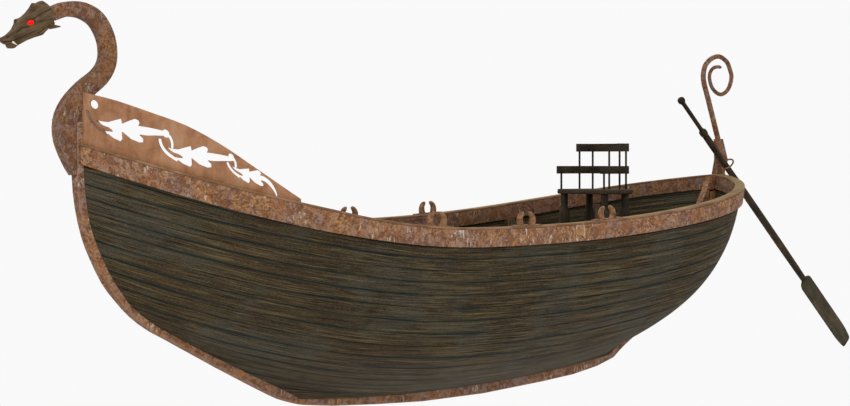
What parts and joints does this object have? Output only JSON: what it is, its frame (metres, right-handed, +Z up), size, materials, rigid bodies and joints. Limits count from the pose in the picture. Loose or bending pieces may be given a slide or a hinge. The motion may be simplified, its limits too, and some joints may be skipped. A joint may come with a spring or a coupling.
{
  "type": "dragon boat",
  "caption": "Open double-ended wooden boat with a dragon figurehead, pierced bow boards, rowlocks, a helm chair, a curled stern scroll and a steering oar that swings and dips in a ring.",
  "frame": {"origin": "middle of the boat's length between stem and sternpost, on the centre plane, at the waterline", "axes": "+X towards the stern, so the dragon looks along -X; +Y to starboard; +Z up"},
  "size_m": [10.4831, 2.652, 3.5205],
  "materials": {
    "band_inner_port": "weathered reddish brown",
    "band_inner_starboard": "weathered reddish brown",
    "band_outer_port": "weathered reddish brown",
    "band_outer_starboard": "weathered reddish brown",
    "chair_leg_back_port": "dark stained wood",
    "chair_leg_back_starboard": "dark stained wood",
    "chair_leg_front_port": "dark stained wood",
    "chair_leg_front_starboard": "dark stained wood",
    "chair_lower_rail": "dark stained wood",
    "chair_seat": "dark stained wood",
    "chair_upper_rail": "dark stained wood",
    "dragon_eye_port": "bright red glaze",
    "dragon_eye_starboard": "bright red glaze",
    "dragon_fang_port": "off white",
    "dragon_fang_starboard": "off white",
    "dragon_head": "carved olive brown",
    "dragon_jaw": "carved olive brown",
    "dragon_neck": "weathered reddish brown",
    "floorboards": "bare brown wood",
    "frame_1": "bare brown wood",
    "frame_2": "bare brown wood",
    "frame_3": "bare brown wood",
    "frame_4": "bare brown wood",
    "frame_5": "bare brown wood",
    "frame_6": "bare brown wood",
    "frame_7": "bare brown wood",
    "keel": "weathered reddish brown",
    "oar_blade": "dark green brown",
    "oar_grip": "dark stained wood, lighter ends",
    "oar_loom": "dark stained wood",
    "oar_ring": "dull tarnished bronze",
    "planking_port_bow": "dark weathered planks",
    "planking_port_middle": "dark weathered planks",
    "planking_port_stern": "dark weathered planks",
    "planking_starboard_bow": "dark weathered planks",
    "planking_starboard_middle": "dark weathered planks",
    "planking_starboard_stern": "dark weathered planks",
    "rail_cap_port": "worn olive gold",
    "rail_cap_starboard": "worn olive gold",
    "rowlock_port_1": "dull tarnished bronze",
    "rowlock_port_2": "dull tarnished bronze",
    "rowlock_port_3": "dull tarnished bronze",
    "rowlock_starboard_1": "dull tarnished bronze",
    "rowlock_starboard_2": "dull tarnished bronze",
    "rowlock_starboard_3": "dull tarnished bronze",
    "scroll_post": "weathered reddish brown",
    "scroll_rod": "weathered reddish brown",
    "stem": "weathered reddish brown",
    "stern_deck": "bare brown wood",
    "stern_knee": "weathered reddish brown",
    "sternpost": "weathered reddish brown",
    "stringer_port": "bare brown wood",
    "stringer_starboard": "bare brown wood",
    "thwart_1": "bare brown wood",
    "thwart_2": "bare brown wood",
    "thwart_3": "bare brown wood",
    "washboard_port": "copper brown, pierced with leaves",
    "washboard_starboard": "copper brown, pierced with leaves"
  },
  "bodies": {
    "hull": {"band_inner_port": "band_inner_port", "band_inner_starboard": "band_inner_starboard", "band_outer_port": "band_outer_port", "band_outer_starboard": "band_outer_starboard", "chair_leg_back_port": "chair_leg_back_port", "chair_leg_back_starboard": "chair_leg_back_starboard", "chair_leg_front_port": "chair_leg_front_port", "chair_leg_front_starboard": "chair_leg_front_starboard", "chair_lower_rail": "chair_lower_rail", "chair_seat": "chair_seat", "chair_upper_rail": "chair_upper_rail", "dragon_eye_port": "dragon_eye_port", "dragon_eye_starboard": "dragon_eye_starboard", "dragon_fang_port": "dragon_fang_port", "dragon_fang_starboard": "dragon_fang_starboard", "dragon_head": "dragon_head", "dragon_jaw": "dragon_jaw", "dragon_neck": "dragon_neck", "floorboards": "floorboards", "frame_1": "frame_1", "frame_2": "frame_2", "frame_3": "frame_3", "frame_4": "frame_4", "frame_5": "frame_5", "frame_6": "frame_6", "frame_7": "frame_7", "keel": "keel", "planking_port_bow": "planking_port_bow", "planking_port_middle": "planking_port_middle", "planking_port_stern": "planking_port_stern", "planking_starboard_bow": "planking_starboard_bow", "planking_starboard_middle": "planking_starboard_middle", "planking_starboard_stern": "planking_starboard_stern", "rail_cap_port": "rail_cap_port", "rail_cap_starboard": "rail_cap_starboard", "rowlock_port_1": "rowlock_port_1", "rowlock_port_2": "rowlock_port_2", "rowlock_port_3": "rowlock_port_3", "rowlock_starboard_1": "rowlock_starboard_1", "rowlock_starboard_2": "rowlock_starboard_2", "rowlock_starboard_3": "rowlock_starboard_3", "scroll_post": "scroll_post", "scroll_rod": "scroll_rod", "stem": "stem", "stern_deck": "stern_deck", "stern_knee": "stern_knee", "sternpost": "sternpost", "stringer_port": "stringer_port", "stringer_starboard": "stringer_starboard", "thwart_1": "thwart_1", "thwart_2": "thwart_2", "thwart_3": "thwart_3", "washboard_port": "washboard_port", "washboard_starboard": "washboard_starboard"},
    "ring": {"oar_ring": "oar_ring"},
    "oar": {"oar_loom": "oar_loom", "oar_grip": "oar_grip", "oar_blade": "oar_blade"}
  },
  "joints": [
    {"name": "oar_sweep", "type": "hinge", "parent": "hull", "child": "ring", "pos_m": [3.709, -0.14, 1.628], "axis": [0, 0, 1], "range_deg": [-25, 10]},
    {"name": "oar_dip", "type": "hinge", "parent": "ring", "child": "oar", "pos_m": [3.709, -0.14, 1.628], "axis": [0, -1, 0], "range_deg": [-2, 45]}
  ]
}
